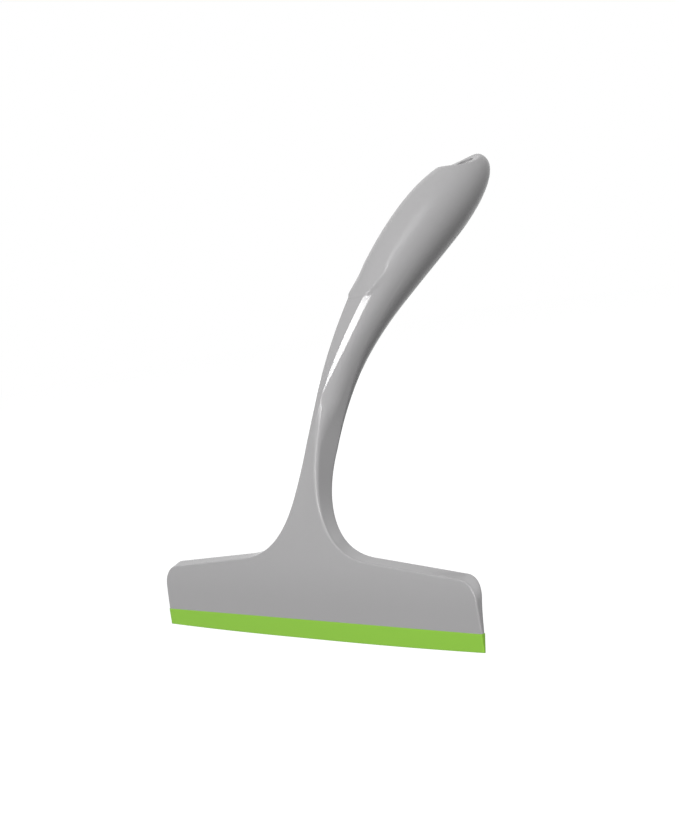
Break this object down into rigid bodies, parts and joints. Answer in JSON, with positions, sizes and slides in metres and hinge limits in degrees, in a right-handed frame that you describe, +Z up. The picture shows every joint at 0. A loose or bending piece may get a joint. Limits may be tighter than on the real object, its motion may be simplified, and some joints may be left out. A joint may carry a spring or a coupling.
{
  "type": "kitchen squeegee",
  "caption": "Household squeegee with a wide flat head, a slim neck, a full rounded grip that leans back, a hanging slot near its tip and a flexible rubber blade along the lower edge.",
  "frame": {"origin": "middle of the wiping edge, at the front of the rubber lip", "axes": "+X along the blade, +Y to the back, the way the handle leans, +Z up, away from the wiping edge"},
  "size_m": [0.23, 0.1625, 0.2181],
  "materials": {
    "grey_plastic": "satin",
    "green_rubber": "matte"
  },
  "bodies": {
    "handle": {"body": "grey_plastic", "rear_cover": "grey_plastic", "blade_root": "green_rubber"},
    "lip": {"blade_lip": "green_rubber"}
  },
  "joints": [
    {"name": "blade_flex", "type": "hinge", "parent": "handle", "child": "lip", "pos_m": [0, 0.00094, 0.00806], "axis": [1, 0, 0], "range_deg": [-25, 25], "stiffness_Nm_per_rad": 0.05}
  ]
}
